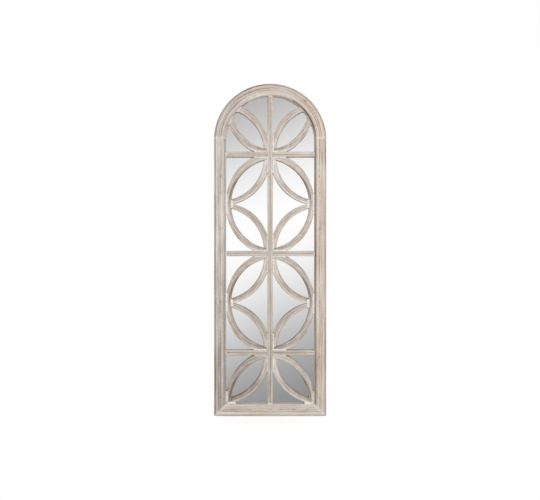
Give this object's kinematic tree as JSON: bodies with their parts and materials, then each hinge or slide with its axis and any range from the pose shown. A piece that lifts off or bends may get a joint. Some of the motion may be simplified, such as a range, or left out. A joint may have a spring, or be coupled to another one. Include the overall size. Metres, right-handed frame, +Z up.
{
  "type": "window mirror",
  "caption": "Arch-topped wall mirror made like an old window: moulded timber frame, one mirror pane and a timber lattice of leaf-shaped petals laid on it.",
  "frame": {"origin": "middle of the frame's foot, in the plane of its flat back", "axes": "+X to the right of someone looking at the mirror, +Y out of the flat back towards the wall, +Z up"},
  "size_m": [0.6096, 0.0472, 1.8034],
  "materials": {
    "frame_timber": "whitewashed, rubbed back at the edges",
    "lattice_timber": "whitewashed, thinner than on the frame",
    "tongue_plywood": "bare plywood",
    "silvered_glass": "polished",
    "board": "bare hardboard",
    "fixing_steel": "zinc-plated",
    "hanger_steel": "nickel-plated",
    "bumper_rubber": "matte"
  },
  "bodies": {
    "mirror": {"stile_left": "frame_timber", "stile_right": "frame_timber", "bottom_rail": "frame_timber", "arch_left": "frame_timber", "arch_crown": "frame_timber", "arch_right": "frame_timber", "joint_tongues": "tongue_plywood", "mullion": "lattice_timber", "lattice_rail_upper": "lattice_timber", "lattice_rail_middle": "lattice_timber", "lattice_rail_lower": "lattice_timber", "hoop_arch_left": "lattice_timber", "hoop_arch_right": "lattice_timber", "hoop_upper_left": "lattice_timber", "hoop_upper_right": "lattice_timber", "hoop_lower_left": "lattice_timber", "hoop_lower_right": "lattice_timber", "hoop_foot_left": "lattice_timber", "hoop_foot_right": "lattice_timber", "petal_upper_above_left": "lattice_timber", "petal_upper_above_right": "lattice_timber", "petal_upper_below_left": "lattice_timber", "petal_upper_below_right": "lattice_timber", "petal_middle_above_left": "lattice_timber", "petal_middle_above_right": "lattice_timber", "petal_middle_below_left": "lattice_timber", "petal_middle_below_right": "lattice_timber", "petal_lower_above_left": "lattice_timber", "petal_lower_above_right": "lattice_timber", "petal_lower_below_left": "lattice_timber", "petal_lower_below_right": "lattice_timber", "mirror_glass": "silvered_glass", "backing_board": "board", "backing_points": "fixing_steel", "hanger_strap_left": "hanger_steel", "hanger_strap_right": "hanger_steel", "hanger_screws": "fixing_steel", "wall_bumpers": "bumper_rubber"},
    "ring_left": {"hanger_ring_left": "hanger_steel"},
    "ring_right": {"hanger_ring_right": "hanger_steel"}
  },
  "joints": [
    {"name": "ring_left_hinge", "type": "hinge", "parent": "mirror", "child": "ring_left", "pos_m": [-0.2848, 0.0034, 1.3986], "axis": [1, 0, 0], "range_deg": [0, 180]},
    {"name": "ring_right_hinge", "type": "hinge", "parent": "mirror", "child": "ring_right", "pos_m": [0.2848, 0.0034, 1.3986], "axis": [1, 0, 0], "range_deg": [0, 180]}
  ]
}
